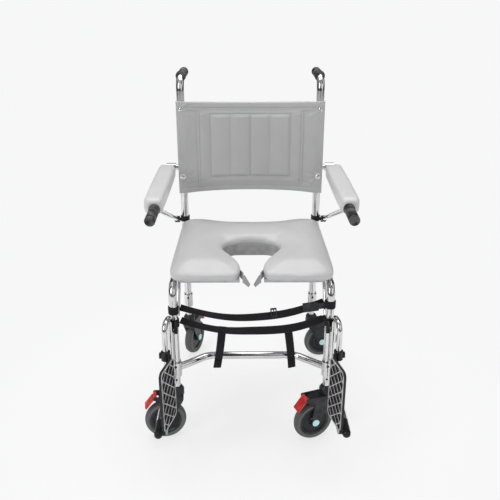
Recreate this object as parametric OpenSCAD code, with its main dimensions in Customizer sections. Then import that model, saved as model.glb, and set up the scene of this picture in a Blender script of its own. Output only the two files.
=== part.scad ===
// Mobile commode chair: chromed tube frame, horseshoe seat, sling back,
// flip-up arms, swing-away footrests and four braked swivel casters.
// Origin: on the floor under the middle of the chair. The front faces -Y.

/* [Frame] */
// Half the distance between the two side frames, tube centre to tube centre
half_track = 223; // [221:0.5:223]
// Distance of the front legs in front of the origin
leg_y = 215; // [213:1:217]
// Distance of the rear uprights behind the origin
upright_y = 234; // [232:1:236]
// Outer radius of the frame tube
tube_r = 12.5; // [12.4:0.05:12.5]
// Height of the push handle centreline
handle_z = 1016; // [1005:1:1080]
// Length of the straight push handle behind its bend
handle_len = 111; // [100:1:130]

/* [Seat] */
// Height of the underside of the cushion
seat_z = 526; // [526:1:530]
// Thickness of the seat cushion
cushion_t = 42; // [36:1:46]
// Half width of the cushion at its front edge
seat_half_front = 227; // [220:1:230]
// Half width of the cushion at its rear edge
seat_half_rear = 222; // [205:1:224]
// Half width of the opening at its widest place
opening_half = 89; // [80:1:95]

/* [Back] */
// Height of the lower edge of the back sling
back_z = 643; // [635:1:655]
// Height of the back sling
back_h = 304; // [280:1:305]
// How far the sling bows rearward at its middle
back_bow = 30; // [10:1:32]

/* [Arms] */
// Distance of each arm tube from the middle of the chair
arm_x = 262; // [262:0.5:264]
// Height of the arm pivots
arm_z = 727; // [725:1:730]
// Width of an arm pad
pad_w = 54; // [40:1:60]

/* [Footrests] */
// Height of the footplate pivots
foot_z = 147; // [145:1:148]
// Toe-out of the folded footplates, in degrees
plate_yaw = 15; // [13:0.5:15]
// Height of a folded footplate, which is its width in use
plate_h = 190; // [150:1:195]

/* [Casters] */
// Radius of the wheels
wheel_r = 62.5; // [61:0.5:62.5]
// Distance from the swivel axis to the axle
trail = 40; // [39:0.5:41]
// Width of the tyres
tyre_w = 28; // [24:1:29]

/* [Hidden] */
$fn = 48;
bore_r = 10.58;
leg_r = 10.5;
yaw_fl = 8;
yaw_fr = 22;
yaw_rl = -110;
yaw_rr = -168.5;

chrome = [0.82, 0.83, 0.85];
black = [0.09, 0.09, 0.1];
dark = [0.19, 0.2, 0.21];

function unit(v) = v / norm(v);

// A solid round bar between two points
module bar(a, b, r) {
    d = b - a;
    h = norm(d);
    z = d / h;
    x = abs(z[2]) > 0.99 ? [1, 0, 0] : unit(cross([0, 0, 1], z));
    y = cross(z, x);
    x2 = cross(y, z);
    multmatrix([[x2[0], y[0], z[0], a[0]], [x2[1], y[1], z[1], a[1]], [x2[2], y[2], z[2], a[2]], [0, 0, 0, 1]])
        cylinder(r = r, h = h);
}

// The bend of radius R at corner b of the path a, b, c
module bend(a, b, c, R, r) {
    p = unit(b - a);
    q = unit(c - b);
    t = acos(p * q);
    l = R * tan(t / 2);
    s = b - l * p;
    n = unit(q - (p * q) * p);
    m = s + R * n;
    ex = -n;
    ez = cross(ex, p);
    multmatrix([[ex[0], p[0], ez[0], m[0]], [ex[1], p[1], ez[1], m[1]], [ex[2], p[2], ez[2], m[2]], [0, 0, 0, 1]])
        rotate_extrude(angle = t) translate([R, 0]) circle(r = r);
}

function setback(a, b, c, R) = R * tan(acos(unit(b - a) * unit(c - b)) / 2);

// A bar that follows a path of points with rounded corners
module bent(P, R, r) {
    n = len(P);
    for (i = [0 : n - 2]) {
        d = unit(P[i + 1] - P[i]);
        s0 = i == 0 ? 0 : setback(P[i - 1], P[i], P[i + 1], R);
        s1 = i == n - 2 ? 0 : setback(P[i], P[i + 1], P[i + 2], R);
        bar(P[i] + s0 * d, P[i + 1] - s1 * d, r);
    }
    for (i = [1 : n - 2]) bend(P[i - 1], P[i], P[i + 1], R, r);
}

module mirrored() { mirror([1, 0, 0]) children(); }

// ---- frame ----
module side_frame() {
    x = half_track;
    up = [[x, upright_y, 222], [x, upright_y, handle_z], [x, upright_y + 40 + handle_len, handle_z]];
    front = [[x, -leg_y, 222], [x, -leg_y, 500], [x, upright_y - tube_r + 1, 500]];
    color(chrome) difference() {
        union() {
            bent(up, 40, tube_r);
            bent(front, 30, tube_r);
            // slim brace between the seat rail and the front leg
            bar([x - 12, -150, 494], [x - 11, -leg_y + 9, 408], 6);
            // lug and upright pin that carry the footrest hanger
            translate([x, -leg_y, 272]) rotate([0, 0, -74]) translate([6, -5.5, 0]) cube([22, 11, 10]);
            translate([231, -243, 271]) cylinder(r = 8.5, h = 12);
            translate([231, -243, 281]) cylinder(r = 5, h = 117);
            // pin and shoulder of the arm pivot
            translate([x + 8, upright_y, arm_z]) rotate([0, 90, 0]) cylinder(r = 5, h = 281 - x - 8);
            translate([x + 8, upright_y, arm_z]) rotate([0, 90, 0]) cylinder(r = 9, h = 15);
        }
        bent([[x, upright_y, 200], [x, upright_y, handle_z], up[2] + [0, 5, 0]], 40, bore_r);
        bent([[x, -leg_y, 200], [x, -leg_y, 500], [x, upright_y - tube_r - 2, 500]], 30, bore_r);
    }
}
module left_side_frame() { mirrored() side_frame(); }
module right_side_frame() { side_frame(); }

module cross_tubes() {
    z = 238;
    P = [[-214, -208, z], [-132, -146, z], [132, -146, z], [214, -208, z]];
    x = half_track - tube_r - 0.02;
    color(chrome) {
        difference() {
            bent(P, 60, 11);
            bent(P, 60, 9.5);
            for (s = [-1, 1]) translate([s * half_track, -leg_y, z - 30]) cylinder(r = 16.02, h = 60);
        }
        for (y = [62, 126]) difference() {
            bar([-x, y, 500], [x, y, 500], 11);
            bar([-x - 5, y, 500], [x + 5, y, 500], 9.5);
            for (s = [-1, 1]) translate([s * half_track, y - 30, 500]) rotate([-90, 0, 0]) cylinder(r = 12.52, h = 60);
        }
    }
}

module at_legs() {
    for (s = [-1, 1], y = [-leg_y, upright_y]) translate([s * half_track, y, 0]) children();
}

module leg_collars() {
    color(chrome) at_legs() difference() {
        union() {
            translate([0, 0, 214]) cylinder(r = 16, h = 46);
            translate([0, 0, 260]) cylinder(r1 = 16, r2 = 14, h = 5);
        }
        translate([0, 0, 221.95]) cylinder(r = tube_r + 0.05, h = 60);
        translate([0, 0, 200]) cylinder(r = bore_r + 0.05, h = 40);
        translate([0, 0, 250]) rotate([90, 0, 0]) cylinder(r = 4.05, h = 30);
    }
}

module leg_lock_buttons() {
    color(dark) at_legs() translate([0, -12.7, 250]) rotate([90, 0, 0]) {
        cylinder(r = 4, h = 4.4);
        translate([0, 0, 4.4]) cylinder(r1 = 4, r2 = 2.6, h = 1.4);
    }
}

// Ribbed hand grip along -Z from its open end, closed at the far end
module grip(r, bore, len, pitch) {
    n = floor((len - 14) / pitch);
    rotate_extrude() polygon(concat(
        [[bore, 0], [r + 1.5, 0], [r + 1.5, 5], [r - 0.5, 6]],
        [for (i = [0 : n - 1], k = [0 : 3]) [k == 0 || k == 3 ? r - 1.2 : r, 7 + i * pitch + [0, 0.22, 0.62, 0.84][k] * pitch]],
        [[r - 1.2, len - 6], [r, len - 5], [r, len - 2.5], [r - 2.5, len], [0, len], [0, len - 4], [bore, len - 4]]));
}

module push_grips() {
    color(black) for (s = [-1, 1]) translate([s * half_track, upright_y + 42, handle_z]) rotate([-90, 0, 0])
        grip(15.2, tube_r + 0.05, handle_len + 5, 7);
}

// ---- back ----
module back_sling() {
    n = 24;
    w = 204;
    function fy(x) = 213.5 + back_bow * max(0, 1 - pow(x / w, 2));
    front = [for (i = [0 : n]) let (x = -w + 2 * w * i / n) [x, fy(x)]];
    rear = [for (i = [n : -1 : 0]) let (x = -w + 2 * w * i / n) [x, fy(x) + 7.6 + 8 * max(0, 1 - pow(x / w, 8))]];
    color([0.64, 0.65, 0.66]) difference() {
        translate([0, 0, back_z]) linear_extrude(height = back_h)
            polygon(concat([[-237, 221.1], [-237, 213.5]], front, [[237, 213.5], [237, 221.1]], rear));
        for (s = [-1, 1], z = [701, 921]) translate([s * half_track, 250, z]) rotate([90, 0, 0]) cylinder(r = 2.7, h = 60);
    }
}

module back_screws() {
    color(chrome) for (s = [-1, 1], z = [701, 921]) translate([s * half_track, 213.3, z]) rotate([90, 0, 0]) {
        cylinder(r = 9.5, h = 1.4);
        translate([0, 0, 1.4]) rotate_extrude() intersection() {
            translate([0, -6]) circle(r = 9.2);
            square([8, 6]);
        }
        translate([0, 0, -7.8]) cylinder(r = 2.5, h = 9);
    }
}

// ---- seat ----
module opening2d(grow) {
    hull() {
        for (s = [-1, 1]) translate([s * (opening_half - 50), -45]) circle(r = 50 + grow, $fn = 32);
        translate([0, -205]) circle(r = 27 + grow, $fn = 32);
    }
    translate([-27 - grow, -290]) square([54 + 2 * grow, 90]);
}

module seat2d(inset) {
    hull() {
        for (s = [-1, 1]) {
            translate([s * (seat_half_front - 30), -208]) circle(r = 30 - inset, $fn = 32);
            translate([s * (seat_half_rear - 34), 135]) circle(r = 34 - inset, $fn = 32);
        }
    }
}

module seat_cushion() {
    color([0.79, 0.8, 0.81]) difference() {
        translate([0, 0, seat_z + 0.1]) linear_extrude(height = cushion_t) seat2d(0);
        translate([0, 0, seat_z - 5]) linear_extrude(height = cushion_t + 10) opening2d(0);
    }
}

module seat_board() {
    color([0.72, 0.73, 0.74]) difference() {
        translate([0, 0, 516]) linear_extrude(height = seat_z - 516) seat2d(24);
        translate([0, 0, 500]) linear_extrude(height = 60) opening2d(7);
    }
}

// Thin liner round the opening, ending in two pointed tips at the front
module splash_guard() {
    color([0.6, 0.61, 0.63]) {
        intersection() {
            difference() {
                translate([0, 0, 508]) linear_extrude(height = 36) opening2d(-1.2);
                translate([0, 0, 495]) linear_extrude(height = 60) opening2d(-4);
                translate([-70, -240, 500]) cube([140, 60, 22]);
            }
            translate([-150, -230, 505]) cube([300, 300, 42]);
        }
        for (s = [-1, 1]) translate([0, -227.5, 0]) rotate([90, 0, 0]) linear_extrude(height = 2.4)
            polygon([[s * 25.7, 524], [s * 25.7, 543], [s * 20, 546], [s * 4.5, 517], [s * 9.5, 509]]);
    }
}

module seat_clips() {
    color(black) for (s = [-1, 1], y = [-130, 83]) difference() {
        translate([s > 0 ? half_track - 34 : -half_track - 3, y, 492]) cube([37, 24, 23.9]);
        translate([s * half_track, y - 5, 500]) rotate([-90, 0, 0]) cylinder(r = tube_r + 0.05, h = 40);
        translate([s * half_track - 11, y - 5, 480]) cube([22, 40, 15]);
    }
}

module pan_rails() {
    color(chrome) for (s = [-1, 1]) translate([s * 130, 45, 0]) rotate([90, 0, 0])
        linear_extrude(height = 190) polygon([[s * 12, 516], [s * -2, 516], [s * -2, 494], [s * -14, 494], [s * -14, 491.5], [s * 0.5, 491.5], [s * 0.5, 513.5], [s * 12, 513.5]]);
}

// ---- straps ----
function sag(x, za, zb, drop) = za + (zb - za) * (x + 205) / 410 - drop * (1 - pow(x / 205, 2));

module webbing(za, zb, drop, w, y) {
    n = 20;
    X = [for (i = [0 : n]) -207 + 414 * i / n];
    translate([0, y, 0]) rotate([90, 0, 0]) linear_extrude(height = 2.4) polygon(concat(
        [for (x = X) [x, sag(x, za, zb, drop) + w / 2]],
        [for (i = [n : -1 : 0]) [X[i], sag(X[i], za, zb, drop) - w / 2]]));
}

module leg_loop(s, z, w) {
    translate([s * half_track, -leg_y, z - w / 2]) difference() {
        cylinder(r = 15.4, h = w);
        translate([0, 0, -1]) cylinder(r = 12.9, h = w + 2);
    }
}

module calf_straps() {
    color(black) {
        difference() {
            union() {
                webbing(436, 449, 40, 20, -199.6);
                leg_loop(-1, 436, 20);
                leg_loop(1, 449, 20);
            }
            for (s = [-1, 1]) translate([s * half_track, -leg_y, 300]) cylinder(r = 12.9, h = 190);
        }
        difference() {
            union() {
                webbing(391, 394, 35, 22, -199.6);
                leg_loop(-1, 391, 22);
                leg_loop(1, 394, 22);
                for (q = [[-104, 8.5], [120, -5.5]]) translate([q[0], -200.5, 234]) rotate([0, q[1], 0]) translate([-11, -3.5, 0]) cube([22, 2.4, 134]);
            }
            for (s = [-1, 1]) translate([s * half_track, -leg_y, 300]) cylinder(r = 12.9, h = 190);
        }
    }
}

module strap_hardware() {
    color(dark) {
        translate([176, -202.4, 436]) rotate([0, -8, 0]) {
            translate([-30, -9, -13]) cube([44, 8.6, 26]);
            translate([14, -7.5, -9]) cube([18, 5.6, 18]);
        }
        translate([63, -202.4, 416]) rotate([0, -6, 0]) difference() {
            translate([-9, -4.6, -14]) cube([18, 4.2, 28]);
            translate([-5.5, -6, -10]) cube([4, 8, 20]);
            translate([1.5, -6, -10]) cube([4, 8, 20]);
        }
    }
}

// ---- arms ----
hook = [arm_x - 14, 221, 549];

module arm_stops() {
    color(black) for (s = [-1, 1]) difference() {
        union() {
            translate([s * half_track, upright_y, 540]) cylinder(r = 15.5, h = 18);
            translate([s * (half_track + 2), hook[1], hook[2]]) rotate([0, s * 90, 0]) cylinder(r = 5.5, h = 32);
        }
        translate([s * half_track, upright_y, 500]) cylinder(r = tube_r + 0.05, h = 90);
    }
}

brace_a = [arm_x - 3, -176, arm_z - 8];
brace_b = hook + [0, -10, 4];

module arm_tube() {
    color(chrome) difference() {
        union() {
            bar([arm_x, upright_y - 8, arm_z], [arm_x, -290, arm_z], 11);
            translate([arm_x - 15, upright_y, arm_z]) rotate([0, 90, 0]) cylinder(r = 14, h = 30);
            bar(brace_a, brace_b - 1.1 * unit(brace_b - brace_a), 8);
        }
        bar([arm_x, upright_y - 20, arm_z], [arm_x, -295, arm_z], 9.5);
        bar(brace_a + 0.04 * (brace_b - brace_a), brace_b + 0.02 * (brace_b - brace_a), 6.5);
        translate([arm_x - 40, upright_y, arm_z]) rotate([0, 90, 0]) cylinder(r = 5.05, h = 80);
    }
}
module left_arm_tube() { mirrored() arm_tube(); }
module right_arm_tube() { arm_tube(); }

module arm_pad() {
    color([0.86, 0.86, 0.86]) difference() {
        translate([arm_x - 22, -196, arm_z - 17]) cube([pad_w, 372, 45]);
        translate([arm_x - 13.5, -210, arm_z - 20]) cube([25, 400, 31.5]);
    }
}
module left_arm_pad() { mirrored() arm_pad(); }
module right_arm_pad() { arm_pad(); }

module arm_grip() { color(black) translate([arm_x, -198, arm_z]) rotate([90, 0, 0]) grip(14.4, 11.05, 97, 7); }
module left_arm_grip() { mirrored() arm_grip(); }
module right_arm_grip() { arm_grip(); }

// Open-sided cap on the lower end of the arm brace
module arm_end_cap() {
    d = unit(brace_b - brace_a);
    color(black) difference() {
        union() {
            bar(brace_b - 20 * d, brace_b + 1 * d, 10);
            translate(hook - [8, 0, 0]) rotate([0, 90, 0]) cylinder(r = 11, h = 16);
        }
        bar(brace_b - 30 * d, brace_b - 1 * d, 8.05);
        translate(hook - [12, 0, 0]) rotate([0, 90, 0]) cylinder(r = 5.6, h = 24);
        translate(hook + [-12, 0, -5.6]) cube([24, 20, 11.2]);
    }
}
module left_arm_end_cap() { mirrored() arm_end_cap(); }
module right_arm_end_cap() { arm_end_cap(); }

// ---- footrests ----
h0 = [231, -243];
hanger_w = 58;
hanger_turn = -81;
h1 = h0 + hanger_w * [cos(hanger_turn), sin(hanger_turn)];
foot_x = 258;
toe_y = -408;

module hanger() {
    color(chrome) difference() {
        union() {
            translate([h0[0], h0[1], 0]) rotate([0, 0, hanger_turn])
                bent([[0, 0, 285], [0, 0, 428], [hanger_w, 0, 428], [hanger_w, 0, 316]], 24, 8);
            translate([211, -245, 374]) cube([14, 4, 12]);
        }
        translate([h0[0], h0[1], 280]) cylinder(r = 5.05, h = 120);
        translate([h1[0], h1[1], 310]) cylinder(r = 6.56, h = 88);
        translate([215, -230, 380]) rotate([90, 0, 0]) cylinder(r = 2.05, h = 30);
    }
}
module left_hanger() { mirrored() hanger(); }
module right_hanger() { hanger(); }

// Release lever beside the hanger, forked over its lug
module hanger_latch() {
    color(black) {
        difference() {
            translate([209.5, -252, 374]) cube([10, 18, 30]);
            translate([208, -245.4, 370]) cube([20, 4.8, 22]);
        }
        translate([215, -236, 380]) rotate([90, 0, 0]) cylinder(r = 2, h = 14);
        translate([207, -250, 396]) rotate([0, 25, 0]) cube([3, 14, 12]);
    }
}
module left_hanger_latch() { mirrored() hanger_latch(); }
module right_hanger_latch() { hanger_latch(); }

module hanger_clamp() {
    color(black) difference() {
        union() {
            translate([h1[0], h1[1], 321]) cylinder(r = 13, h = 26);
            translate([h1[0], h1[1] - 5.5, 327]) cube([18, 11, 14]);
            translate([h1[0] - 15, h1[1] - 6.5, 325]) cube([15, 9, 11]);
        }
        translate([h1[0], h1[1], 310]) cylinder(r = 8.05, h = 50);
    }
}
module left_hanger_clamp() { mirrored() hanger_clamp(); }
module right_hanger_clamp() { hanger_clamp(); }

module footrest_stem() {
    color(chrome) difference() {
        union() {
            translate([h1[0], h1[1], 143]) cylinder(r = 6.5, h = 217);
            translate([foot_x, -352, foot_z]) rotate([-90, 0, 0]) cylinder(r = 12.5, h = 52.5);
            translate([h1[0], h1[1] - 7.5, 143.5]) cube([foot_x - h1[0], 6.9, 12]);
            translate([foot_x, -409, foot_z]) rotate([-90, 0, 0]) cylinder(r = 8, h = 70);
        }
        translate([foot_x, -412, foot_z]) rotate([-90, 0, 0]) cylinder(r = 5.5, h = 140);
    }
}
module left_footrest_stem() { mirrored() footrest_stem(); }
module right_footrest_stem() { footrest_stem(); }

// Black plate that stands folded up beside its pivot tube; its ribbed underside faces inward
module footplate() {
    color(black) difference() {
        union() {
            translate([foot_x - 13, toe_y, foot_z + 6]) rotate([0, 0, plate_yaw]) {
                translate([-3, 0, 0]) rotate([90, 0, 90]) linear_extrude(height = 5) plate2d(0);
                intersection() {
                    union() for (k = [-4 : 4], s = [-1, 1])
                        translate([-6, 46, plate_h / 2 + k * 34]) rotate([s * 48, 0, 0]) translate([0, -1.4, -150]) cube([4, 2.8, 300]);
                    translate([-8, 0, 0]) rotate([90, 0, 90]) linear_extrude(height = 8) plate2d(2);
                }
                translate([-6.5, 0, 0]) rotate([90, 0, 90]) linear_extrude(height = 4) difference() {
                    plate2d(0);
                    plate2d(4);
                }
            }
            translate([foot_x, -402, foot_z]) rotate([-90, 0, 0]) cylinder(r = 12, h = 49.6);
            translate([foot_x - 24, -402, foot_z - 4]) cube([24, 36, 13]);
        }
        translate([foot_x, -430, foot_z]) rotate([-90, 0, 0]) cylinder(r = 8.06, h = 200);
    }
}
module plate2d(in) {
    r = 16 - in;
    w = 93;
    h = plate_h;
    translate([16, in]) square([w - 32, h - 2 * in]);
    translate([in, 16]) square([w - 2 * in, h - 32]);
    for (x = [16, w - 16], y = [16, h - 16]) translate([x, y]) circle(r = r);
}
module left_footplate() { mirrored() footplate(); }
module right_footplate() { footplate(); }

module pivot_cap() {
    color(black) translate([foot_x, -409, foot_z]) rotate([90, 0, 0]) {
        translate([0, 0, -6]) cylinder(r = 5.45, h = 6.1);
        rotate_extrude() intersection() {
            scale([1, 1]) translate([0, -5.6]) circle(r = 12.2);
            square([10.8, 8]);
        }
    }
}
module left_pivot_cap() { mirrored() pivot_cap(); }
module right_pivot_cap() { pivot_cap(); }

// ---- adjustable legs and casters, each about its own swivel axis ----
module leg() {
    color(chrome) difference() {
        translate([0, 0, 176]) cylinder(r = leg_r, h = 180);
        translate([0, 0, 198.5]) cylinder(r = 8, h = 170);
        translate([0, 0, 170]) cylinder(r = 5.05, h = 40);
        for (i = [0 : 5]) translate([0, 0, 202 + 25 * i]) rotate([90, 0, 0]) cylinder(r = 3.4, h = 20);
    }
}

module fork() {
    color(dark) difference() {
        union() {
            translate([0, 0, 150]) cylinder(r = 20, h = 18);
            translate([0, 0, 168]) cylinder(r1 = 20, r2 = 15, h = 7.5);
            translate([0, 0, 170]) cylinder(r = 5, h = 26);
            for (s = [-1, 1]) translate([0, s > 0 ? 20.5 : -16.5, 0]) rotate([90, 0, 0]) linear_extrude(height = 4) {
                translate([-trail, wheel_r]) circle(r = 15);
                polygon([[-trail - 13, wheel_r + 6], [-trail + 11, wheel_r - 9], [-2, 104], [14, 134], [16, 150], [-50, 152], [-68, 152.2], [-73, 146], [-64, 136], [-44, 128]]);
            }
            rotate([90, 0, 0]) translate([0, 0, -18]) linear_extrude(height = 36)
                polygon([[16, 136], [17, 151], [-36, 151], [-57, 147], [-58, 131], [-12, 128.5], [10, 122]]);
            for (s = [-1, 1]) translate([-68, s > 0 ? 20.5 : -16.5, 147]) rotate([90, 0, 0]) cylinder(r = 5.8, h = 4);
            translate([-68, 18, 147]) rotate([90, 0, 0]) cylinder(r = 2, h = 36);
        }
        translate([-trail, 30, wheel_r]) rotate([90, 0, 0]) cylinder(r = 4.02, h = 60);
    }
}

module pedal() {
    color([0.72, 0.1, 0.1]) translate([-68, 0, 147]) rotate([0, -52, 0]) difference() {
        union() {
            rotate([90, 0, 0]) translate([0, 0, -15.5]) cylinder(r = 5, h = 31);
            translate([-46, -15.5, -1]) cube([46, 31, 5]);
            for (i = [0 : 5]) translate([-44 + i * 6.5, -14, 3.5]) cube([3, 28, 2.5]);
        }
        rotate([90, 0, 0]) translate([0, 0, -30]) cylinder(r = 2.05, h = 60);
    }
}

module hub() {
    color(dark) translate([-trail, 0, wheel_r]) rotate([90, 0, 0])
        rotate_extrude() polygon([[4.1, -12.5], [15, -12.5], [17, -9], [38, -8], [41, -11.5], [48, -11.5], [48, 11.5], [41, 11.5], [38, 8], [17, 9], [15, 12.5], [4.1, 12.5]]);
}

module tyre() {
    h = tyre_w / 2;
    color([0.37, 0.37, 0.38]) translate([-trail, 0, wheel_r]) rotate([90, 0, 0]) rotate_extrude()
        polygon(concat([[48.02, -11.5], [52, -h], [wheel_r - 5, -h]],
            [for (a = [-75 : 15 : 75]) [wheel_r - 5 + 5 * cos(a), (h - 4) * sin(a) / sin(75)]],
            [[wheel_r - 5, h], [52, h], [48.02, 11.5]]));
}

// Axle with its two domed hub caps
module axle() {
    color([0.8, 0.93, 0.95]) translate([-trail, 0, wheel_r]) rotate([90, 0, 0]) {
        translate([0, 0, -20.6]) cylinder(r = 4, h = 41.2);
        for (s = [0, 1]) mirror([0, 0, s]) {
            translate([0, 0, 20.6]) cylinder(r = 11, h = 2);
            translate([0, 0, 22.6]) cylinder(r1 = 11, r2 = 8.5, h = 1.8);
        }
    }
}

module fl() { translate([-half_track, -leg_y, 0]) rotate([0, 0, yaw_fl]) children(); }
module fl0() { translate([-half_track, -leg_y, 0]) children(); }
module fr() { translate([half_track, -leg_y, 0]) rotate([0, 0, yaw_fr]) children(); }
module fr0() { translate([half_track, -leg_y, 0]) children(); }
module rl() { translate([-half_track, upright_y, 0]) rotate([0, 0, yaw_rl]) children(); }
module rr() { translate([half_track, upright_y, 0]) rotate([0, 0, yaw_rr]) children(); }
module rl0() { translate([-half_track, upright_y, 0]) children(); }
module rr0() { translate([half_track, upright_y, 0]) children(); }

module front_left_leg() { fl0() leg(); }
module front_right_leg() { fr0() leg(); }
module rear_left_leg() { rl0() leg(); }
module rear_right_leg() { rr0() leg(); }
module front_left_fork() { fl() fork(); }
module front_right_fork() { fr() fork(); }
module rear_left_fork() { rl() fork(); }
module rear_right_fork() { rr() fork(); }
module front_left_pedal() { fl() pedal(); }
module front_right_pedal() { fr() pedal(); }
module rear_left_pedal() { rl() pedal(); }
module rear_right_pedal() { rr() pedal(); }
module front_left_hub() { fl() hub(); }
module front_right_hub() { fr() hub(); }
module rear_left_hub() { rl() hub(); }
module rear_right_hub() { rr() hub(); }
module front_left_tyre() { fl() tyre(); }
module front_right_tyre() { fr() tyre(); }
module rear_left_tyre() { rl() tyre(); }
module rear_right_tyre() { rr() tyre(); }
module front_left_axle() { fl() axle(); }
module front_right_axle() { fr() axle(); }
module rear_left_axle() { rl() axle(); }
module rear_right_axle() { rr() axle(); }

left_side_frame();
right_side_frame();
cross_tubes();
leg_collars();
leg_lock_buttons();
push_grips();
back_sling();
back_screws();
seat_cushion();
seat_board();
splash_guard();
seat_clips();
pan_rails();
calf_straps();
strap_hardware();
arm_stops();
left_arm_tube();
right_arm_tube();
left_arm_pad();
right_arm_pad();
left_arm_grip();
right_arm_grip();
left_arm_end_cap();
right_arm_end_cap();
left_hanger();
right_hanger();
left_hanger_latch();
right_hanger_latch();
left_hanger_clamp();
right_hanger_clamp();
left_footrest_stem();
right_footrest_stem();
left_footplate();
right_footplate();
left_pivot_cap();
right_pivot_cap();
front_left_leg();
front_right_leg();
rear_left_leg();
rear_right_leg();
front_left_fork();
front_right_fork();
rear_left_fork();
rear_right_fork();
front_left_pedal();
front_right_pedal();
rear_left_pedal();
rear_right_pedal();
front_left_hub();
front_right_hub();
rear_left_hub();
rear_right_hub();
front_left_tyre();
front_right_tyre();
rear_left_tyre();
rear_right_tyre();
front_left_axle();
front_right_axle();
rear_left_axle();
rear_right_axle();
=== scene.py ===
import bpy, bmesh, math
import numpy as np
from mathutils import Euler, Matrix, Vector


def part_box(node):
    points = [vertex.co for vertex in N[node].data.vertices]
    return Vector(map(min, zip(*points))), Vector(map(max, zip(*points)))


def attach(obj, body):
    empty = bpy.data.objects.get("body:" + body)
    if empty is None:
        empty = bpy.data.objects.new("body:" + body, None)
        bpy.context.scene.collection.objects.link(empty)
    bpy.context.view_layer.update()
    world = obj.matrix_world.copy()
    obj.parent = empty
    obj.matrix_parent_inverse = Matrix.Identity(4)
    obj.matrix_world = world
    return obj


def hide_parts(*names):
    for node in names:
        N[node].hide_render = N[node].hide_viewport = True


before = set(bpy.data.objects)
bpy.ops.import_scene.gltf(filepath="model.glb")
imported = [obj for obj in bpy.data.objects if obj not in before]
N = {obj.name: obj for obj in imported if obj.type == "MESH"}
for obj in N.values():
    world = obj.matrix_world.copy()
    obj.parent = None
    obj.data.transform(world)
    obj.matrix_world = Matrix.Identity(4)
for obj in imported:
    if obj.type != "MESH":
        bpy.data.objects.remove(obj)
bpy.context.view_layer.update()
sc = bpy.context.scene
sc.view_settings.view_transform = "Standard"
sc.view_settings.look = "None"


# ------------------------------------------------------------------ materials
def new_mat(name):
    m = bpy.data.materials.new(name)
    m.use_nodes = True
    t = m.node_tree
    b = t.nodes["Principled BSDF"]
    tc = t.nodes.new("ShaderNodeTexCoord")
    return m, t, b, tc.outputs["Object"]


def noise(t, vec, scale, detail=4.0, rough=0.5, stretch=None):
    if stretch:
        mp = t.nodes.new("ShaderNodeMapping")
        mp.inputs["Scale"].default_value = stretch
        t.links.new(vec, mp.inputs["Vector"])
        vec = mp.outputs["Vector"]
    n = t.nodes.new("ShaderNodeTexNoise")
    n.inputs["Scale"].default_value = scale
    n.inputs["Detail"].default_value = detail
    n.inputs["Roughness"].default_value = rough
    t.links.new(vec, n.inputs["Vector"])
    return n.outputs["Fac"]


def voronoi(t, vec, scale, feature="F1", rnd=1.0):
    n = t.nodes.new("ShaderNodeTexVoronoi")
    n.feature = feature
    n.inputs["Scale"].default_value = scale
    n.inputs["Randomness"].default_value = rnd
    t.links.new(vec, n.inputs["Vector"])
    return n.outputs["Distance"]


def ramp(t, fac, stops):
    r = t.nodes.new("ShaderNodeValToRGB")
    e = r.color_ramp.elements
    while len(e) < len(stops):
        e.new(0.5)
    for k, (p, c) in enumerate(stops):
        e[k].position = p
        e[k].color = (c, c, c, 1) if isinstance(c, (int, float)) else (*c, 1)
    t.links.new(fac, r.inputs["Fac"])
    return r.outputs["Color"]


def rangef(t, fac, lo, hi, a=0.3, b=0.7):
    r = t.nodes.new("ShaderNodeMapRange")
    r.inputs["From Min"].default_value = a
    r.inputs["From Max"].default_value = b
    r.inputs["To Min"].default_value = lo
    r.inputs["To Max"].default_value = hi
    t.links.new(fac, r.inputs["Value"])
    return r.outputs["Result"]


def mathn(t, op, a, b=None, c=None):
    n = t.nodes.new("ShaderNodeMath")
    n.operation = op
    for k, v in enumerate((a, b, c)):
        if v is None:
            continue
        if isinstance(v, (int, float)):
            n.inputs[k].default_value = v
        else:
            t.links.new(v, n.inputs[k])
    return n.outputs[0]


def mixc(t, fac, a, b, mode="MIX"):
    n = t.nodes.new("ShaderNodeMix")
    n.data_type = "RGBA"
    n.blend_type = mode
    for sock, v in ((n.inputs[0], fac), (n.inputs[6], a), (n.inputs[7], b)):
        if isinstance(v, (int, float)):
            sock.default_value = v
        elif isinstance(v, tuple):
            sock.default_value = (*v, 1)
        else:
            t.links.new(v, sock)
    return n.outputs[2]


def bump(t, b, heights):
    prev = None
    for h, strength, dist in heights:
        n = t.nodes.new("ShaderNodeBump")
        n.inputs["Strength"].default_value = strength
        n.inputs["Distance"].default_value = dist
        t.links.new(h, n.inputs["Height"])
        if prev:
            t.links.new(prev, n.inputs["Normal"])
        prev = n.outputs["Normal"]
    t.links.new(prev, b.inputs["Normal"])


def pointy(t, lo=0.47, hi=0.56):
    g = t.nodes.new("ShaderNodeNewGeometry")
    return rangef(t, g.outputs["Pointiness"], 0.0, 1.0, lo, hi)


def xyz(t, vec):
    s = t.nodes.new("ShaderNodeSeparateXYZ")
    t.links.new(vec, s.inputs[0])
    return s.outputs


def chrome_mat():
    m, t, b, o = new_mat("chrome_steel")
    smudge = noise(t, o, 14, 5)
    fine = noise(t, o, 900, 2, stretch=(1, 1, 0.06))
    b.inputs["Metallic"].default_value = 1.0
    t.links.new(ramp(t, smudge, [(0.25, (0.56, 0.56, 0.57)), (0.75, (0.76, 0.755, 0.75))]), b.inputs["Base Color"])
    t.links.new(mathn(t, "ADD", rangef(t, smudge, 0.05, 0.14), mathn(t, "MULTIPLY", fine, 0.05)), b.inputs["Roughness"])
    bump(t, b, [(noise(t, o, 60, 3), 0.04, 0.001), (fine, 0.04, 0.0003)])
    return m


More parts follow.
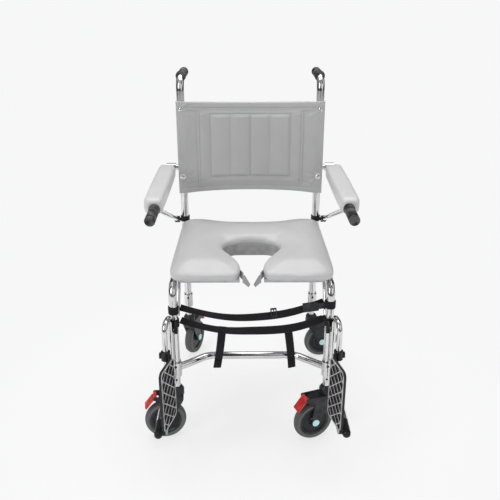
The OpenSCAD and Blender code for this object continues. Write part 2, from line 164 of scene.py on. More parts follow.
def plastic(name, c, rough=(0.35, 0.55), grain=900, gs=0.25, edge_wear_and_highlight=0.5, light=None, spec=0.4):
    m, t, b, o = new_mat(name)
    big = noise(t, o, 9, 5)
    g = noise(t, o, grain, 3)
    base = mixc(t, big, tuple(x * 0.8 for x in c), tuple(min(1, x * 1.2) for x in c))
    # lighter tint at sharp edges, masked by pointiness and noise: partly edge wear, partly painted highlight
    light = light or tuple(min(1, x * 2.0 + 0.05) for x in c)
    w = mathn(t, "MULTIPLY", pointy(t), mathn(t, "MULTIPLY", rangef(t, noise(t, o, 45, 6), 0, 1, 0.4, 0.65), edge_wear_and_highlight))
    t.links.new(mixc(t, w, base, light), b.inputs["Base Color"])
    t.links.new(rangef(t, noise(t, o, 35, 5), *rough), b.inputs["Roughness"])
    b.inputs["Specular IOR Level"].default_value = spec
    bump(t, b, [(g, gs, 0.0004), (noise(t, o, 40, 2), 0.05, 0.001)])
    return m


def skin(name, dark, lightc, rough, grain, gs, crease=0.25):
    """Coated or skinned soft surface with a pebble grain."""
    m, t, b, o = new_mat(name)
    cloud = noise(t, o, 5, 4)
    cells = voronoi(t, o, grain, "SMOOTH_F1")
    pores = voronoi(t, o, grain * 2.3, "F1")
    base = mixc(t, cloud, dark, lightc)
    base = mixc(t, mathn(t, "MULTIPLY", rangef(t, cells, 0, 1, 0.1, 0.75), 0.12), base, tuple(x * 0.75 for x in dark))
    base = mixc(t, mathn(t, "MULTIPLY", rangef(t, noise(t, o, 22, 7, 0.65), 0, 1, 0.52, 0.72), 0.10), base, tuple(x * 0.7 for x in dark))
    t.links.new(base, b.inputs["Base Color"])
    t.links.new(rangef(t, noise(t, o, 30, 5), *rough), b.inputs["Roughness"])
    b.inputs["Sheen Weight"].default_value = 0.08
    bump(t, b, [(noise(t, o, 26, 4), crease, 0.0012), (cells, gs, 0.0007), (pores, gs * 0.5, 0.0003)])
    return m


def webbing_mat():
    m, t, b, o = new_mat("woven_webbing")
    uv = t.nodes.new("ShaderNodeUVMap").outputs["UV"]
    s = xyz(t, uv)
    warp = mathn(t, "SINE", mathn(t, "MULTIPLY", s[1], 2 * math.pi * 15))
    weft = mathn(t, "SINE", mathn(t, "ADD", mathn(t, "MULTIPLY", s[0], 2 * math.pi * 700), mathn(t, "MULTIPLY", mathn(t, "SIGN", warp), 1.57)))
    w = mathn(t, "ADD", mathn(t, "MULTIPLY", mathn(t, "MULTIPLY", warp, weft), 0.35), mathn(t, "MULTIPLY", mathn(t, "ABSOLUTE", warp), 0.65))
    fuzz = noise(t, o, 1500, 2)
    edge = rangef(t, mathn(t, "ABSOLUTE", mathn(t, "SUBTRACT", s[1], 0.5)), 0, 1, 0.40, 0.44)
    col = mixc(t, rangef(t, w, 0, 1, -0.3, 0.9), (0.004, 0.004, 0.005), (0.018, 0.018, 0.021))
    col = mixc(t, mathn(t, "MULTIPLY", edge, 0.5), col, (0.03, 0.03, 0.034))
    col = mixc(t, mathn(t, "MULTIPLY", rangef(t, noise(t, o, 18, 6), 0, 1, 0.5, 0.7), 0.2), col, (0.035, 0.035, 0.037))
    t.links.new(col, b.inputs["Base Color"])
    b.inputs["Roughness"].default_value = 0.72
    b.inputs["Sheen Weight"].default_value = 0.04
    b.inputs["Specular IOR Level"].default_value = 0.15
    bump(t, b, [(w, 0.6, 0.0006), (fuzz, 0.2, 0.0003)])
    return m


def thread_mat(c):
    m, t, b, o = new_mat("sewing_thread")
    s = xyz(t, o)
    tw = mathn(t, "SINE", mathn(t, "MULTIPLY", mathn(t, "ADD", s[0], s[2]), 5200))
    t.links.new(mixc(t, rangef(t, tw, 0, 1, -1, 1), tuple(x * 0.7 for x in c), c), b.inputs["Base Color"])
    b.inputs["Roughness"].default_value = 0.6
    bump(t, b, [(tw, 0.4, 0.0002)])
    return m


def plate_mat(side):
    """Black moulded plate whose raised tread ribs are coloured light grey, broken up by noise."""
    m, t, b, o = new_mat("tread_" + ("right" if side > 0 else "left"))
    a = math.radians(15)
    s = xyz(t, o)
    lx = mathn(t, "ADD", mathn(t, "MULTIPLY", mathn(t, "SUBTRACT", mathn(t, "MULTIPLY", s[0], side), 0.245), math.cos(a)),
               mathn(t, "MULTIPLY", mathn(t, "ADD", s[1], 0.408), math.sin(a)))
    rib = rangef(t, lx, 1, 0, -0.0058, -0.0046)
    rib_tint_noise = rangef(t, noise(t, o, 60, 6, 0.7), 0.35, 1, 0.35, 0.6)
    base = mixc(t, noise(t, o, 12, 5), (0.005, 0.005, 0.006), (0.014, 0.014, 0.016))
    col = mixc(t, mathn(t, "MULTIPLY", rib, rib_tint_noise), base, (0.48, 0.48, 0.49))
    t.links.new(col, b.inputs["Base Color"])
    b.inputs["Specular IOR Level"].default_value = 0.3
    t.links.new(rangef(t, noise(t, o, 35, 5), 0.32, 0.55), b.inputs["Roughness"])
    bump(t, b, [(noise(t, o, 700, 3), 0.3, 0.0004)])
    return m


def tyre_mat():
    m, t, b, o = new_mat("tyre_rubber")
    dust = noise(t, o, 30, 7, 0.7)
    c = mixc(t, dust, (0.03, 0.03, 0.032), (0.065, 0.065, 0.068))
    c = mixc(t, mathn(t, "MULTIPLY", pointy(t), 0.35), c, (0.26, 0.26, 0.26))
    t.links.new(c, b.inputs["Base Color"])
    t.links.new(rangef(t, dust, 0.55, 0.8), b.inputs["Roughness"])
    bump(t, b, [(noise(t, o, 800, 3), 0.4, 0.0004), (noise(t, o, 120, 4), 0.12, 0.0006)])
    return m


M = dict(
    chrome=chrome_mat(),
    black=plastic("black_moulding", (0.008, 0.008, 0.009), (0.22, 0.38), 900, 0.25, 0.3, (0.06, 0.06, 0.065), 0.22),
    dark=plastic("dark_moulding", (0.016, 0.017, 0.020), (0.25, 0.42), 800, 0.22, 0.35, (0.09, 0.095, 0.10), 0.25),
    # grip rubber: the strong lighter edges are painted highlights on the grip rings
    grip=plastic("grip_rubber", (0.006, 0.006, 0.007), (0.25, 0.4), 1200, 0.3, 0.9, (0.16, 0.16, 0.165), 0.35),
    red=plastic("red_moulding", (0.50, 0.014, 0.016), (0.3, 0.5), 800, 0.25, 0.35, (0.75, 0.12, 0.1)),
    blue=plastic("cap_blue", (0.50, 0.84, 0.90), (0.25, 0.4), 700, 0.12, 0.2, (0.9, 0.97, 1)),
    board=plastic("grey_moulding", (0.42, 0.43, 0.45), (0.4, 0.6), 600, 0.3, 0.2),
    liner=plastic("liner_grey", (0.27, 0.27, 0.272), (0.35, 0.55), 400, 0.5, 0.2),
    vinyl=skin("grey_vinyl", (0.37, 0.371, 0.373), (0.445, 0.445, 0.447), (0.34, 0.48), 900, 0.22),
    seat=skin("seat_skin", (0.475, 0.475, 0.48), (0.515, 0.515, 0.518), (0.32, 0.42), 1100, 0.04, 0.02),
    pad=skin("pad_skin", (0.52, 0.52, 0.52), (0.57, 0.57, 0.567), (0.32, 0.44), 1100, 0.05, 0.04),
    web=webbing_mat(),
    thread=thread_mat((0.30, 0.30, 0.31)),
    tyre=tyre_mat(),
)


def set_mat(o, m):
    if not o.material_slots:
        o.data.materials.append(m)
    for s in o.material_slots:
        s.material = m


for name, o in N.items():
    if name.endswith("_footplate"):
        set_mat(o, plate_mat(1 if name.startswith("right") else -1))
    elif name.endswith("_tyre"):
        set_mat(o, M["tyre"])
    elif name.endswith(("_hub", "_fork")) or name in ("strap_hardware", "leg_lock_buttons"):
        set_mat(o, M["dark"])
    elif name.endswith("_axle"):
        set_mat(o, M["blue"])
    elif name.endswith("_pedal"):
        set_mat(o, M["red"])
    elif name.endswith("grip") or name == "push_grips":
        set_mat(o, M["grip"])
    elif name == "seat_board":
        set_mat(o, M["board"])
    elif name == "splash_guard":
        set_mat(o, M["liner"])
    elif name.endswith(("_latch", "_clamp", "_cap")) or name in ("arm_stops", "seat_clips"):
        set_mat(o, M["black"])
    elif name in ("seat_cushion", "back_sling", "calf_straps") or name.endswith("_arm_pad"):
        pass
    else:
        set_mat(o, M["chrome"])


# ------------------------------------------------------------------ mesh helpers
def mesh_obj(name, verts, faces, mat, smooth=True, uv=None):
    me = bpy.data.meshes.new(name)
    me.from_pydata([tuple(map(float, v)) for v in verts], [], faces)
    me.validate()
    if uv is not None:
        layer = me.uv_layers.new(name="UVMap")
        idx = np.empty(len(me.loops), dtype=np.int32)
        me.loops.foreach_get("vertex_index", idx)
        layer.data.foreach_set("uv", np.asarray(uv, dtype=np.float32)[idx].ravel())
    me.update()
    bm = bmesh.new(); bm.from_mesh(me)
    bmesh.ops.recalc_face_normals(bm, faces=bm.faces)
    bm.to_mesh(me); bm.free()
    if smooth:
        me.polygons.foreach_set("use_smooth", [True] * len(me.polygons))
    o = bpy.data.objects.new(name, me)
    bpy.context.collection.objects.link(o)
    o.data.materials.append(mat)
    return o


def grid_faces(nu, nv, off=0, wrap_u=False, wrap_v=False):
    f = []
    for i in range(nu if wrap_u else nu - 1):
        for j in range(nv if wrap_v else nv - 1):
            a, b_ = i, (i + 1) % nu
            c, d = j, (j + 1) % nv
            f.append((off + a * nv + c, off + b_ * nv + c, off + b_ * nv + d, off + a * nv + d))
    return f


def apply_mods(o):
    dg = bpy.context.evaluated_depsgraph_get()
    me = bpy.data.meshes.new_from_object(o.evaluated_get(dg))
    o.modifiers.clear()
    o.data = me
    me.polygons.foreach_set("use_smooth", [True] * len(me.polygons))


def coords(o):
    a = np.empty(len(o.data.vertices) * 3)
    o.data.vertices.foreach_get("co", a)
    return a.reshape(-1, 3)


def put(o, a):
    o.data.vertices.foreach_set("co", np.ascontiguousarray(a, dtype=np.float64).ravel())
    o.data.update()


def sstep(x, a, b):
    t = np.clip((x - a) / (b - a), 0, 1)
    return t * t * (3 - 2 * t)


def inflate(o, cap, pressure=4.0, frames=20):
    """Pressure cloth on a closed form; no vertex moves further than cap."""
    start = coords(o).copy()
    m = o.modifiers.new("Cloth", "CLOTH")
    s = m.settings
    s.quality = 4
    s.mass = 0.25
    s.use_pressure = True
    s.uniform_pressure_force = pressure
    s.effector_weights.gravity = 0
    s.tension_stiffness = s.compression_stiffness = 25
    s.bending_stiffness = 1.5
    m.point_cache.frame_start = 1
    m.point_cache.frame_end = frames
    for f in range(1, frames + 1):
        sc.frame_set(f)
    apply_mods(o)
    sc.frame_set(1)
    end = coords(o)
    if len(end) == len(start):
        d = end - start
        ln = np.linalg.norm(d, axis=1, keepdims=True)
        put(o, start + d * np.minimum(1, cap / np.maximum(ln, 1e-9)))


# ------------------------------------------------------------------ seat cushion
def arc(cx, cy, r, a0, a1, n):
    return [(cx + r * math.cos(math.radians(a0 + (a1 - a0) * k / n)), cy + r * math.sin(math.radians(a0 + (a1 - a0) * k / n))) for k in range(n + 1)]


def densify(P, step):
    out = []
    for k in range(len(P)):
        a, b_ = np.array(P[k]), np.array(P[(k + 1) % len(P)])
        n = max(1, int(np.linalg.norm(b_ - a) / step))
        out += [tuple(a + (b_ - a) * i / n) for i in range(n)]
    return out


def seat_outline():
    """Right half from the rear middle round the outside to the inner rear of the opening, then mirrored (mm)."""
    half = [(0, 158), (60, 161), (120, 167)]
    half += arc(190, 135, 34, 90, 4, 8)
    half += [(226, 60), (228, -60), (229, -150)]
    half += arc(200, -207, 29, 5, -90, 8)
    half += [(150, -238), (100, -239)]
    half += arc(64, -212, 26, -92, -176, 7)
    half += [(34, -190), (52, -140), (70, -105)]
    half += [(83, -76), (89, -52), (86, -30), (74, -12), (54, 0), (28, 4)]
    out = half + [(0, 5)] + [(-x, y) for x, y in half[::-1]][:-1]
    return out


def chaikin(P, n=2):
    P = [np.array(p, float) for p in P]
    for _ in range(n):
        Q = []
        for k in range(len(P)):
            a, b_ = P[k], P[(k + 1) % len(P)]
            Q += [a * 0.75 + b_ * 0.25, a * 0.25 + b_ * 0.75]
        P = Q
    return P


def dist_poly(pts, poly):
    poly = np.asarray(poly)
    best = np.full(len(pts), 1e9)
    for k in range(len(poly)):
        a, b_ = poly[k], poly[(k + 1) % len(poly)]
        ab = b_ - a
        t = np.clip(((pts - a) @ ab) / max(ab @ ab, 1e-12), 0, 1)
        best = np.minimum(best, np.linalg.norm(pts - (a + t[:, None] * ab), axis=1))
    return best


def make_seat():
    lo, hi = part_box("seat_cushion")
    z0, z1 = lo[2], hi[2]
    P = np.array(chaikin(seat_outline(), 2))
    inset = 2.0
    bm = bmesh.new()
    vs = [bm.verts.new((p[0] / 1000, p[1] / 1000, z0 + 0.001)) for p in P]
    es = [bm.edges.new((vs[k], vs[(k + 1) % len(vs)])) for k in range(len(vs))]
    fs = bmesh.ops.triangle_fill(bm, use_beauty=True, edges=es)["geom"]
    faces = [g for g in fs if isinstance(g, bmesh.types.BMFace)]
    ex = bmesh.ops.extrude_face_region(bm, geom=faces)
    bmesh.ops.translate(bm, verts=[g for g in ex["geom"] if isinstance(g, bmesh.types.BMVert)], vec=(0, 0, z1 - z0 - 0.003))
    bmesh.ops.recalc_face_normals(bm, faces=bm.faces)
    me = bpy.data.meshes.new("seat_pad"); bm.to_mesh(me); bm.free()
    o = bpy.data.objects.new("seat_pad", me)
    bpy.context.collection.objects.link(o)
    o.data.materials.append(M["seat"])
    r = o.modifiers.new("r", "REMESH"); r.mode = "VOXEL"; r.voxel_size = 0.0045
    s = o.modifiers.new("s", "SMOOTH"); s.factor = 0.5; s.iterations = 14
    apply_mods(o)
    inflate(o, 0.005)
    e = o.modifiers.new("even", "SMOOTH"); e.factor = 0.5; e.iterations = 16
    apply_mods(o)
    c = coords(o)
    for ax, want in ((0, P[:, 0]), (1, P[:, 1])):
        for sg in (-1, 1):
            ref = abs(want.max() if sg > 0 else want.min()) / 1000
            now = (c[:, ax] * sg).max()
            c[:, ax] += sg * (ref - now) * sstep(c[:, ax] * sg, ref * 0.62, ref * 0.97)
    d = dist_poly(c[:, :2] * 1000, P)
    zm = (z0 + z1) / 2
    up = sstep(c[:, 2], zm - 0.008, zm + 0.018)
    x, y = c[:, 0], c[:, 1]
    crown = (0.009 * sstep(d, 0, 70) - 0.003) * up
    # shallow sitting hollow each side of the opening and a rise at the rear corners
    hollow = -0.004 * np.exp(-(((np.abs(x) - 0.13) / 0.06) ** 2 + ((y + 0.06) / 0.12) ** 2)) * up
    rear = 0.006 * sstep(y, 0.05, 0.15) * sstep(np.abs(x), 0.08, 0.17) * up
    front = -0.008 * sstep(-y, 0.17, 0.235) * up
    c[:, 2] += crown + hollow + rear + front
    c[:, 2] = np.clip(c[:, 2], z0 + 0.0004, z1 + 0.025)
    low = c[:, 2] < z0 + 0.004
    c[low, 2] = z0 + 0.0004 + (c[low, 2] - z0 - 0.0004) * 0.3
    put(o, c)
    sd = o.modifiers.new("sub", "SUBSURF"); sd.levels = sd.render_levels = 1
    apply_mods(o)
    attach(o, "frame"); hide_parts("seat_cushion")


make_seat()


# ------------------------------------------------------------------ back sling
def groove(x, x0, w):
    return np.exp(-((x - x0) / w) ** 2)


def back_front(X, Z):
    """Front surface depth Y in metres for a point X, Z in millimetres."""
    base = 213.4 + 30 * np.clip(1 - (X / 204) ** 2, 0, 1)
    ax = np.abs(X)
    h = np.zeros_like(X)
    padm = (1 - sstep(ax, 158, 172)) * sstep(Z, 664, 678) * (1 - sstep(Z, 908, 922))
    h += 3.0 * padm
    inx = (1 - sstep(ax, 122, 130))
    inz = sstep(Z, 692, 704) * (1 - sstep(Z, 896, 908))
    ch = np.abs(np.sin(np.pi * (X + 128) / 64)) ** 0.55
    h += 6.6 * ch * inx * inz
    # seam round the channel panel, the lower roll and the side panels
    h -= 1.8 * (groove(ax, 130, 2.6) * sstep(Z, 690, 694) * (1 - sstep(Z, 906, 910)))
    h -= 1.6 * (groove(Z, 694, 2.4) + groove(Z, 907, 2.4)) * (1 - sstep(ax, 128, 132))
    h += 2.4 * np.exp(-((Z - 682) / 6.5) ** 2) * (1 - sstep(ax, 140, 160))
    h += 2.2 * np.exp(-(((ax - 150) / 11) ** 2)) * sstep(Z, 676, 690) * (1 - sstep(Z, 905, 918))
    # raised welt with a double seam each side
    h += 2.4 * groove(ax, 168, 2.2) * sstep(Z, 664, 668) * (1 - sstep(Z, 916, 922))
    h -= 1.2 * (groove(ax, 163.5, 1.6) + groove(ax, 173, 1.6)) * sstep(Z, 664, 668) * (1 - sstep(Z, 916, 922))
    # mitre seams from the corners of the panel to the corners of the sling
    for zc, zs in ((907, 1), (690, -1)):
        t = np.clip((ax - 130) / 78, 0, 1)
        line = zc + zs * t * 16
        h -= 1.3 * groove(Z, line, 2.0) * sstep(ax, 130, 134) * (1 - sstep(ax, 200, 208))
    # hems
    h += 1.3 * (sstep(Z, 929, 932) + (1 - sstep(Z, 657, 660)))
    h -= 1.0 * (groove(Z, 928.5, 1.6) + groove(Z, 660.5, 1.6))
    h += 1.0 * sstep(ax, 206, 210)
    # soft creases fanning from the screws
    for sx in (-1, 1):
        for sz, dirn in ((921, -1), (701, 1)):
            dx, dz = (X - sx * 223), (Z - sz)
            r = np.hypot(dx, dz)
            th = np.arctan2(dz, -sx * dx)
            h += 1.1 * np.cos(9 * th + 0.6 * dirn) * np.exp(-((r - 26) / 20) ** 2) * (ax < 221)
    h += 0.5 * np.sin(X * 0.05 + 1.3 * np.sin(Z * 0.021)) * np.sin(Z * 0.043 + X * 0.011)
    return base, h


def make_back():
    xs = np.arange(-237, 237.1, 1.975)
    zs = np.linspace(643, 947, 153)
    X, Z0 = np.meshgrid(xs, zs, indexing="ij")
    v = (Z0 - 643) / 304
    ax = np.abs(X) / 237
    scoop = 9 * (1 - ax ** 2) * v ** 3
    lower = 3 * (1 - ax ** 4) * (1 - v) ** 3
    Z = Z0 - scoop + lower
    base, h = back_front(X, Z0)
    Yf = base - h
    thick = 7.4 + 8 * np.clip(1 - (np.abs(X) / 204) ** 8, 0, 1)
    Yb = base + thick - 1.4
    # round the rim
    e = np.minimum.reduce([237 - np.abs(X), (Z0 - 643), (947 - Z0)])
    rr = 3.2
    k = np.sqrt(np.clip(1 - (1 - np.clip(e / rr, 0, 1)) ** 2, 0, 1))
    mid = (Yf + Yb) / 2
    Yf2 = mid + (Yf - mid) * (0.25 + 0.75 * k)
    Yb2 = mid + (Yb - mid) * (0.25 + 0.75 * k)
    nu, nv = X.shape
    F = np.stack([X, Yf2, Z], -1).reshape(-1, 3) / 1000
    B = np.stack([X, Yb2, Z], -1).reshape(-1, 3) / 1000
    faces = grid_faces(nu, nv) + [tuple(reversed(f)) for f in grid_faces(nu, nv, nu * nv)]
    n = nu * nv
    rim = [i * nv for i in range(nu)] + [(nu - 1) * nv + j for j in range(1, nv)] + [i * nv + nv - 1 for i in range(nu - 2, -1, -1)] + [j for j in range(nv - 2, 0, -1)]
    for a, b_ in zip(rim, rim[1:] + rim[:1]):
        faces.append((a, b_, b_ + n, a + n))
    o = mesh_obj("back_panel", np.vstack([F, B]), faces, M["vinyl"])
    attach(o, "frame"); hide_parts("back_sling")


def warp_z(X, Z0):
    v = (Z0 - 643) / 301
    ax = abs(X) / 237
    return Z0 - 9 * (1 - ax ** 2) * v ** 3 + 3 * (1 - ax ** 4) * (1 - v) ** 3


def stitches(name, paths, length=3.4, gap=1.6, r=0.42, mat="thread", surf=None, body="frame"):
    """Short raised thread stitches along paths given in X, Z millimetres on the back."""
    verts, faces = [], []
    for P in paths:
        P = np.array(P, float)
        seg = np.linalg.norm(np.diff(P, axis=0), axis=1)
        cum = np.concatenate([[0], np.cumsum(seg)])
        s = 0.0
        while s + length < cum[-1]:
            pts = []
            for u in (0, 0.25, 0.5, 0.75, 1):
                q = [np.interp(s + u * length, cum, P[:, k]) for k in (0, 1)]
                b_, h = back_front(np.array([q[0]]), np.array([q[1]]))
                lift = 0.5 * math.sin(math.pi * u) - 0.15
                pts.append(np.array([q[0], b_[0] - h[0] - lift, warp_z(q[0], q[1])]))
            for k, p in enumerate(pts):
                d = pts[min(k + 1, 4)] - pts[max(k - 1, 0)]
                d /= np.linalg.norm(d)
                n1 = np.cross(d, [0, 1, 0]); n1 /= max(np.linalg.norm(n1), 1e-6)
                n2 = np.cross(d, n1)
                for a in range(6):
                    w = r * (0.6 if k in (0, 4) else 1)
                    verts.append((p + w * (math.cos(a * math.pi / 3) * n1 + math.sin(a * math.pi / 3) * n2)) / 1000)
            o0 = len(verts) - 30
            for k in range(4):
                for a in range(6):
                    faces.append((o0 + k * 6 + a, o0 + k * 6 + (a + 1) % 6, o0 + (k + 1) * 6 + (a + 1) % 6, o0 + (k + 1) * 6 + a))
            faces.append(tuple(o0 + a for a in range(5, -1, -1)))
            faces.append(tuple(o0 + 24 + a for a in range(6)))
            s += length + gap
    o = mesh_obj(name, verts, faces, M[mat])
    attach(o, body)


make_back()
lines = [[(x, 697), (x, 903)] for x in (-64, 0, 64)]
lines += [[(s * 130, 694), (s * 130, 907)] for s in (-1, 1)]
lines += [[(-130, z) , (130, z)] for z in (694, 907)]
lines += [[(s * q, 668), (s * q, 918)] for s in (-1, 1) for q in (163.5, 173)]
lines += [[(-205, z), (205, z)] for z in (660.5, 928.5)]
lines += [[(s * 132, 907), (s * 205, 922)] for s in (-1, 1)] + [[(s * 132, 690), (s * 205, 675)] for s in (-1, 1)]
stitches("back_stitching", [[tuple(np.array(a) + (np.array(b_) - np.array(a)) * k / 60) for k in range(61)] for a, b_ in lines])


# ------------------------------------------------------------------ arm pads
def make_pad(side):
    node = ("left" if side < 0 else "right") + "_arm_pad"
    lo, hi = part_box(node)
    cx, cz = (lo[0] + hi[0]) / 2, (lo[2] + hi[2]) / 2
    hw, hh = (hi[0] - lo[0]) / 2, (hi[2] - lo[2]) / 2
    L = hi[1] - lo[1]
    nv, nu = 56, 90
    verts = []
    for i in range(nu + 1):
        u = i / nu
        s = 0.5 - 0.5 * math.cos(math.pi * u)
        y = lo[1] + L * s
        de = min(s, 1 - s) * L
        R = 0.020
        k = math.sqrt(max(0.0, 1 - (1 - min(de / R, 1)) ** 2))
        k = max(k, 0.02)
        wide = 1 - 0.05 * math.cos(2 * math.pi * s) * 0.5 - 0.02
        for j in range(nv):
            a = 2 * math.pi * j / nv
            ca, sa = math.cos(a), math.sin(a)
            n = 4.6
            q = (abs(ca) ** n + abs(sa) ** n) ** (-1 / n)
            shrink = 1 - 0.55 * (1 - k)
            x = hw * wide * q * ca * shrink
            z = hh * q * sa * shrink
            if z > 0:
                z += 0.0018 * math.cos(a - math.pi / 2) * sstep(np.array([de]), 0, 0.06)[0]
                x *= 1 - 0.05 * (z / hh) ** 2
            verts.append((cx + x, y, cz + z))
    faces = []
    for i in range(nu):
        for j in range(nv):
            faces.append((i * nv + j, i * nv + (j + 1) % nv, (i + 1) * nv + (j + 1) % nv, (i + 1) * nv + j))
    # inset end discs
    for i, sgn in ((0, -1), (nu, 1)):
        prev = [i * nv + j for j in range(nv)]
        c = np.array([verts[k] for k in prev]).mean(axis=0)
        for f, dy in ((0.8, 0.0), (0.5, 0.0), (0.2, 0.0)):
            ring = []
            for k in range(nv):
                p = np.array(verts[i * nv + k])
                q = c + (p - c) * f
                q[1] += sgn * dy
                verts.append(tuple(q)); ring.append(len(verts) - 1)
            for j in range(nv):
                faces.append((prev[j], prev[(j + 1) % nv], ring[(j + 1) % nv], ring[j]))
            prev = ring
        faces.append(tuple(prev))
    o = mesh_obj(("left" if side < 0 else "right") + "_arm_cushion", verts, faces, M["pad"])
    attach(o, ("left" if side < 0 else "right") + "_arm"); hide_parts(node)


for s in (-1, 1):
    make_pad(s)


# ------------------------------------------------------------------ straps
def ribbon(P, W, width, thick):
    """Closed flat band through points P with width directions W. Returns verts, faces, uv (metres in, metres out)."""
    P = np.asarray(P, float); W = np.asarray(W, float)
    T = np.gradient(P, axis=0)
    T /= np.linalg.norm(T, axis=1, keepdims=True)
    W = W - (W * T).sum(1, keepdims=True) * T
    W /= np.linalg.norm(W, axis=1, keepdims=True)
    Nn = np.cross(T, W)
    prof = []
    m = 12
    for k in range(m + 1):
        a = -0.5 + k / m
        prof.append((a, 0.5 * (1 - abs(2 * a) ** 8) ** 0.5 if abs(a) < 0.5 else 0.12))
    ring = [(a, h) for a, h in prof] + [(a, -h) for a, h in prof[::-1]]
    L = np.concatenate([[0], np.cumsum(np.linalg.norm(np.diff(P, axis=0), axis=1))])
    verts, uv, faces = [], [], []
    nr = len(ring)
    for i in range(len(P)):
        for a, h in ring:
            verts.append(P[i] + W[i] * a * width + Nn[i] * h * thick)
            uv.append((L[i], a + 0.5))
    for i in range(len(P) - 1):
        for j in range(nr):
            faces.append((i * nr + j, i * nr + (j + 1) % nr, (i + 1) * nr + (j + 1) % nr, (i + 1) * nr + j))
    faces.append(tuple(range(nr - 1, -1, -1)))
    faces.append(tuple((len(P) - 1) * nr + j for j in range(nr)))
    return verts, faces, uv


def strap(name, bands):
    V, F, U = [], [], []
    for P, W, w, th in bands:
        v, f, u = ribbon(P, W, w, th)
        o = len(V)
        V += v; U += u
        F += [tuple(i + o for i in q) for q in f]
    return mesh_obj(name, V, F, M["web"], uv=U)


def span(za, zb, drop, power, y0, wob, x0=0.2055, n=90):
    P, W = [], []
    for k in range(n + 1):
        x = -x0 + 2 * x0 * k / n
        q = x / x0
        z = za + (zb - za) * (q + 1) / 2 - drop * (1 - abs(q) ** power)
        y = y0 + wob * math.sin(7 * q + 0.8) - 0.004 * (1 - q * q)
        P.append((x, y, z))
        W.append((0, 0.22 * math.sin(3.1 * q + 0.5), 1))
    return P, W


def loop_band(s, z, w):
    P, W = [], []
    for k in range(41):
        a = 2 * math.pi * k / 40 * 0.985
        P.append((s * 0.223 + 0.0143 * math.cos(a + (math.pi if s > 0 else 0)), -0.215 + 0.0143 * math.sin(a + (math.pi if s > 0 else 0)), z))
        W.append((0, 0, 1))
    return P, W, w, 0.0018


bands = []
P, W = span(0.432, 0.449, 0.040, 2.0, -0.2010, 0.0012); bands.append((P, W, 0.023, 0.0018))
bands += [loop_band(-1, 0.432, 0.023), loop_band(1, 0.449, 0.023)]
P, W = span(0.391, 0.394, 0.036, 2.6, -0.2008, 0.001); bands.append((P, W, 0.025, 0.0018))
bands += [loop_band(-1, 0.391, 0.025), loop_band(1, 0.394, 0.025)]
for x0, x1 in ((-0.085, -0.103), (0.104, 0.119)):
    P, W = [], []
    for k in range(40):
        t = k / 39
        P.append((x0 + (x1 - x0) * t + 0.0015 * math.sin(3 * t), -0.2042 - 0.0035 * math.sin(2.2 * t) + 0.0008 * math.sin(9 * t), 0.371 - 0.137 * t))
        W.append((1, 0.25 * t, 0))
    bands.append((P, W, 0.0235, 0.0018))
    # folded hem at the free end
    P2 = [(p[0], p[1] - 0.0021, p[2]) for p in P[-8:]]
    bands.append((P2, W[-8:], 0.023, 0.0017))
straps = strap("calf_webbing", bands)
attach(straps, "frame"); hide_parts("calf_straps")


# ------------------------------------------------------------------ stage, light, camera
def floor():
    me = bpy.data.meshes.new("floor")
    me.from_pydata([(-6, -6, 0), (6, -6, 0), (6, 8, 0), (-6, 8, 0)], [], [(0, 1, 2, 3)])
    o = bpy.data.objects.new("floor", me)
    bpy.context.collection.objects.link(o)
    m, t, b, oc = new_mat("studio_floor")
    t.links.new(ramp(t, noise(t, oc, 2, 2), [(0.3, 0.90), (0.7, 0.92)]), b.inputs["Base Color"])
    b.inputs["Roughness"].default_value = 0.9
    b.inputs["Specular IOR Level"].default_value = 0.1
    # seen by the camera, the floor fades into the plain backdrop away from the part
    glow = t.nodes.new("ShaderNodeEmission")
    glow.inputs["Color"].default_value = (0.93, 0.93, 0.935, 1)
    s = xyz(t, oc)
    far = mathn(t, "SQRT", mathn(t, "ADD", mathn(t, "MULTIPLY", s[0], s[0]), mathn(t, "MULTIPLY", s[1], s[1])))
    seen = t.nodes.new("ShaderNodeLightPath").outputs["Is Camera Ray"]
    fac = mathn(t, "MULTIPLY", rangef(t, far, 0.72, 1, 0.42, 0.95), seen)
    mix = t.nodes.new("ShaderNodeMixShader")
    t.links.new(fac, mix.inputs[0])
    t.links.new(b.outputs[0], mix.inputs[1])
    t.links.new(glow.outputs[0], mix.inputs[2])
    t.links.new(mix.outputs[0], t.nodes["Material Output"].inputs["Surface"])
    o.data.materials.append(m)


floor()


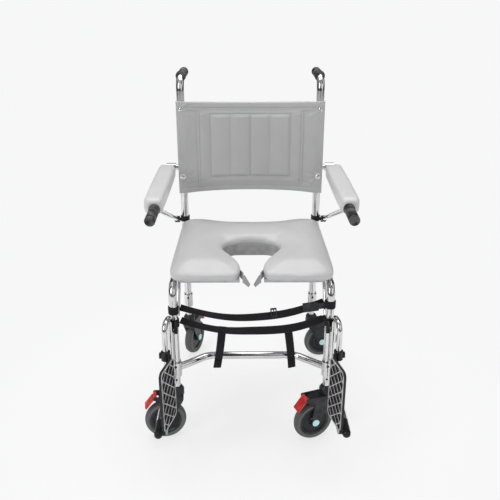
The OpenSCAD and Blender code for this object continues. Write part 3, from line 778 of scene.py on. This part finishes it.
def light(name, loc, rot, size, power, col=(1, 1, 1)):
    l = bpy.data.lights.new(name, "AREA")
    l.shape = "RECTANGLE"; l.size, l.size_y = size
    l.energy = power; l.color = col
    o = bpy.data.objects.new(name, l)
    o.location = loc
    o.rotation_euler = Euler([math.radians(a) for a in rot])
    bpy.context.collection.objects.link(o)


light("top", (0, 0.5, 3.0), (-12, 0, 0), (2.4, 1.6), 40)
light("key", (-2.2, -2.2, 2.4), (52, 0, -45), (1.2, 2.0), 36)
light("fill", (2.4, -1.8, 1.8), (60, 0, 53), (1.2, 2.2), 8)

w = bpy.data.worlds.new("studio"); sc.world = w
w.use_nodes = True
t = w.node_tree
bg = t.nodes["Background"]
tc = t.nodes.new("ShaderNodeTexCoord")
s = xyz(t, tc.outputs["Generated"])
az = mathn(t, "ARCTAN2", s[0], s[1])
bars = mathn(t, "SINE", mathn(t, "ADD", mathn(t, "MULTIPLY", az, 5.0), 0.6))
cards = ramp(t, rangef(t, bars, 0, 1, -1, 1), [(0.22, (0.035, 0.03, 0.028)), (0.36, (0.95, 0.95, 0.95))])
behind = rangef(t, mathn(t, "ABSOLUTE", az), 0.85, 0, 0.7, 1.5)
cards = mixc(t, behind, cards, (0.11, 0.095, 0.085))
low = mathn(t, "MULTIPLY", rangef(t, s[2], 1, 0, 0.10, 0.22), 0.85)
cards = mixc(t, low, cards, (0.05, 0.047, 0.045))
lp = t.nodes.new("ShaderNodeLightPath")
t.links.new(mixc(t, lp.outputs["Is Glossy Ray"], (0.93, 0.93, 0.935), cards), bg.inputs["Color"])
bg.inputs["Strength"].default_value = 0.72
lo_mix = mathn(t, "ADD", mathn(t, "MULTIPLY", lp.outputs["Is Camera Ray"], 0.28), 0.72)
t.links.new(lo_mix, bg.inputs["Strength"])

cam = bpy.data.cameras.new("camera")
cam.sensor_width = 36
cam.lens = 632.5 / 500 * 36
co = bpy.data.objects.new("camera", cam)
co.location = (-0.0192, -1.8123, 1.2783)
co.rotation_euler = Euler((math.radians(90 - 22.55), 0, math.radians(-0.5)))
bpy.context.collection.objects.link(co)
sc.camera = co
